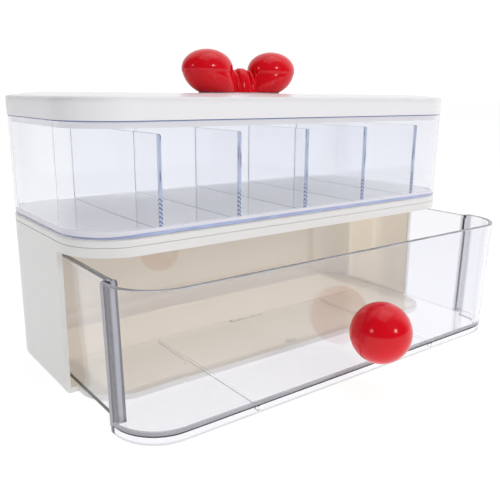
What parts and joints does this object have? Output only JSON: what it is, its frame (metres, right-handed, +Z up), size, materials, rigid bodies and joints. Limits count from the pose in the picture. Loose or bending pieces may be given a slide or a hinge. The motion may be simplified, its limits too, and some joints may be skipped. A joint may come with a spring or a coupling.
{
  "type": "hair accessory organizer",
  "caption": "Storage box for hair accessories: clear pull-out drawer in a white cabinet, clear divided tray above and a lift-off lid.",
  "frame": {"origin": "middle of the cabinet's flat underside, on the surface it stands on", "axes": "+X to the right along the front, +Y to the back, +Z up; the drawer pulls out along -Y"},
  "size_m": [0.26, 0.1883, 0.1711],
  "materials": {
    "white_shell": "glossy warm white moulded plastic",
    "white_lid": "glossy white moulded plastic",
    "clear_plastic": "clear polished polystyrene with a faint blue edge tint",
    "red_bow": "glossy crimson plastic",
    "red_knob": "glossy red plastic",
    "screw_steel": "zinc-plated steel"
  },
  "bodies": {
    "cabinet": {"cabinet_shell": "white_shell", "cabinet_deck": "white_shell", "upper_tray": "clear_plastic", "divider_1": "clear_plastic", "divider_2": "clear_plastic", "divider_3": "clear_plastic", "divider_4": "clear_plastic", "divider_5": "clear_plastic"},
    "drawer": {"drawer_body": "clear_plastic", "knob_front_half": "red_knob", "knob_rear_half": "red_knob", "knob_screw": "screw_steel"},
    "lid": {"lid_shell": "white_lid", "bow_lower_half": "red_bow", "bow_lobe_caps": "red_bow", "bow_knot": "red_bow", "bow_screws": "screw_steel"}
  },
  "joints": [
    {"name": "drawer_slide", "type": "slide", "parent": "cabinet", "child": "drawer", "axis": [0, -1, 0], "range_m": [-0.0435, 0.041]},
    {"name": "lid_lift", "type": "slide", "parent": "cabinet", "child": "lid", "axis": [0, 0, 1], "range_m": [0, 0.06]}
  ]
}
